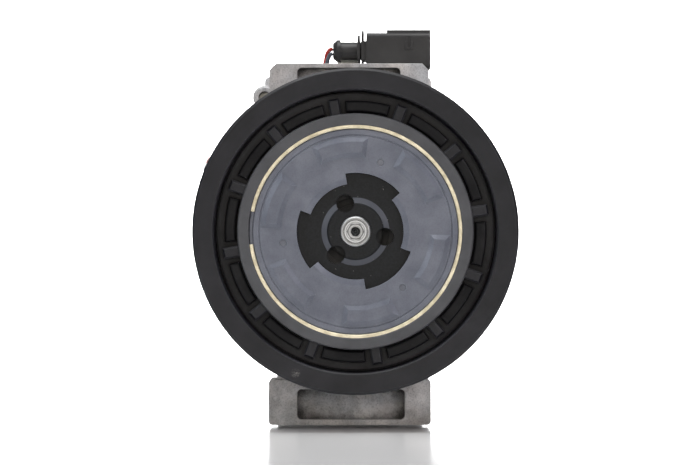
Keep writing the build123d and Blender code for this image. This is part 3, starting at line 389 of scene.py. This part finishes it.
def pale_ring():
    """Pale yellow plated spring steel."""
    material, g = start("pale_ring", metallic=0.85, specular=0.5)
    haze = g.noise(0.35, detail=4.0)
    g.base_colour(g.ramp(haze, (0.35, (0.58, 0.52, 0.37)), (0.65, (0.80, 0.74, 0.57))))
    g.roughness(haze, (0.3, 0.42), (0.7, 0.30))
    g.bump(g.noise(3.0), 0.15, 0.03, g.soft_normal(0.9))
    return material


def plated(name, colour, roughness):
    """Plated or bare metal with cloudy tarnish and worn edges."""
    material, g = start(name, metallic=1.0)
    haze = g.noise(0.30, detail=5.0)
    tarnish = tuple(0.62 * channel for channel in colour)
    g.base_colour(g.ramp(haze, (0.32, tarnish), (0.68, colour)))
    g.roughness(haze, (0.3, roughness + 0.14), (0.7, roughness))
    g.bump(g.noise(1.4, detail=3.0), 0.2, 0.04, g.soft_normal(0.15))
    return material


DEEP_BLACK = (0.005, 0.005, 0.006)
BLACK = (0.011, 0.011, 0.012)
SOFT_BLACK = (0.018, 0.018, 0.019)

MATERIALS = {
    "cast_aluminium": cast_aluminium(),
    "machined_aluminium": machined("machined_aluminium", (0.62, 0.62, 0.62), 0.34, 2.0),
    "pulley_black": pulley_black(),
    "damper_rubber": moulded(
        "damper_rubber", DEEP_BLACK, BLACK, 0.40, strength=0.10, edge=0.9, soft_mm=0.4, specular=0.16
    ),
    "seal_rubber": moulded("seal_rubber", BLACK, SOFT_BLACK, 0.42, grain_mm=0.8),
    "dark_steel": moulded(
        "dark_steel", (0.046, 0.047, 0.052), (0.066, 0.068, 0.075), 0.42, strength=0.2, edge=0.3
    ),
    "cover_grey": cover_grey(),
    "hub_black": hub_black(),
    "pale_ring": pale_ring(),
    "shaft_steel": shaft_steel(),
    "bearing_steel": machined("bearing_steel", (0.60, 0.60, 0.61), 0.24, 1.5, strength=0.08),
    "spring_steel": plated("spring_steel", (0.38, 0.39, 0.42), 0.30),
    "iron": machined("iron", (0.22, 0.22, 0.22), 0.45, 1.5),
    "zinc_steel": plated("zinc_steel", (0.60, 0.59, 0.54), 0.34),
    "brass": plated("brass", (0.62, 0.44, 0.18), 0.30),
    "connector_black": moulded(
        "connector_black", (0.016, 0.0155, 0.016), (0.024, 0.0235, 0.024), 0.46, 0.35, 0.3, 0.4
    ),
    "terminal_tin": plated("terminal_tin", (0.66, 0.65, 0.62), 0.26),
    "lead_red": moulded("lead_red", (0.34, 0.020, 0.014), (0.46, 0.035, 0.022), 0.34, 0.8, 0.15),
    "lead_black": moulded("lead_black", (0.035, 0.045, 0.060), (0.055, 0.065, 0.085), 0.34, 0.8, 0.15),
}

# Nodes whose surface differs from the rest of their slot.
NODE_LOOKS = {
    "limiter_rivets": moulded(
        "rivet_grey", (0.085, 0.092, 0.115), (0.150, 0.160, 0.190), 0.22, 1.5, strength=0.05, edge=0.5
    ),
    "seal_circlip": moulded("circlip_black", SOFT_BLACK, (0.030, 0.030, 0.032), 0.40, edge=0.4),
    "bearing_snap_ring": moulded("snap_ring_black", SOFT_BLACK, (0.030, 0.030, 0.032), 0.40, edge=0.4),
}


def dress_nodes():
    """Gives each CAD node the detailed material of its slot, or its own."""
    for part in frame["record"]["subparts"]:
        look = NODE_LOOKS.get(part["node"], MATERIALS[part["material_slot"]])
        mesh = NODES[part["node"]].data
        for index in range(len(mesh.materials)):
            mesh.materials[index] = look


# ---------------------------------------------------------------- floor and light
def stage_material():
    """Glossy off-white board, a little uneven."""
    material, g = start("stage_white", roughness=0.16, specular=0.5)
    tone = g.noise(0.004, detail=2.0)
    g.base_colour(g.ramp(tone, (0.3, 0.86), (0.7, 0.90)))
    return material


def make_stage():
    """Pale floor that curves up into a backdrop."""
    floor_z = cad_box[0][2]
    profile = [(FLOOR_FRONT, floor_z)]
    for step in range(FLOOR_BEND_STEPS + 1):
        turn = math.radians(90 * step / FLOOR_BEND_STEPS)
        along = FLOOR_BACK + FLOOR_BEND * math.sin(turn)
        profile.append((along, floor_z + FLOOR_BEND * (1 - math.cos(turn))))
    profile.append((FLOOR_BACK + FLOOR_BEND, BACKDROP_TOP))
    points = []
    for y, z in profile:
        points += [(-STAGE_HALF_WIDTH, y, z), (STAGE_HALF_WIDTH, y, z)]
    faces = [(2 * i, 2 * i + 1, 2 * i + 3, 2 * i + 2) for i in range(len(profile) - 1)]
    mesh = bpy.data.meshes.new("stage")
    mesh.from_pydata(points, [], faces)
    mesh.polygons.foreach_set("use_smooth", [True] * len(faces))
    mesh.materials.append(stage_material())
    stage = bpy.data.objects.new("stage", mesh)
    bpy.context.scene.collection.objects.link(stage)


def area_light(name, location, target, size, power, colour=WHITE, spread=180):
    """Rectangular light aimed at target, unseen by the camera; spread is in degrees."""
    data = bpy.data.lights.new(name, "AREA")
    data.shape = "RECTANGLE"
    data.size, data.size_y = size
    data.energy = power
    data.spread = math.radians(spread)
    data.color = colour
    light = bpy.data.objects.new(name, data)
    light.location = location
    light.visible_camera = False
    aim = bpy.data.objects.new(name + "_aim", None)
    aim.location = target
    for item in (light, aim):
        bpy.context.scene.collection.objects.link(item)
    track = light.constraints.new("TRACK_TO")
    track.target = aim
    track.track_axis = "TRACK_NEGATIVE_Z"
    track.up_axis = "UP_Y"


def make_lights():
    """Four lights on the object, two on the floor and backdrop, and an even white fill."""
    area_light("top", (-0.05, -0.10, 0.80), (0, 0.06, 0), (0.9, 0.6), 7.5)
    area_light("left", (-0.70, -0.45, 0.50), (0, 0.0, 0), (0.20, 0.8), 2.6, (0.92, 0.96, 1.0))
    area_light("right", (0.70, -0.85, 0.36), (0.05, 0.0, 0), (0.25, 0.5), 3.4, (1.0, 0.95, 0.98))
    area_light("low_front", (0.0, -1.60, 0.20), (0, 0.02, -0.068), (0.9, 0.25), 2.4, (1.0, 0.93, 0.84))
    area_light("backdrop", (0.0, 1.2, 1.6), (0, 3.0, 0.0), (2.4, 1.0), 110.0, spread=120)
    area_light("floor", (0.0, 1.0, 1.8), (0, 1.7, 0.0), (2.4, 0.8), 55.0, spread=80)
    world = bpy.data.worlds.new("studio")
    world.use_nodes = True
    background = world.node_tree.nodes["Background"]
    background.inputs["Color"].default_value = (*WHITE, 1.0)
    background.inputs["Strength"].default_value = WORLD_STRENGTH
    bpy.context.scene.world = world


bpy.context.scene.view_settings.view_transform = "Standard"
make_camera()
make_stage()
make_lights()
dress_nodes()
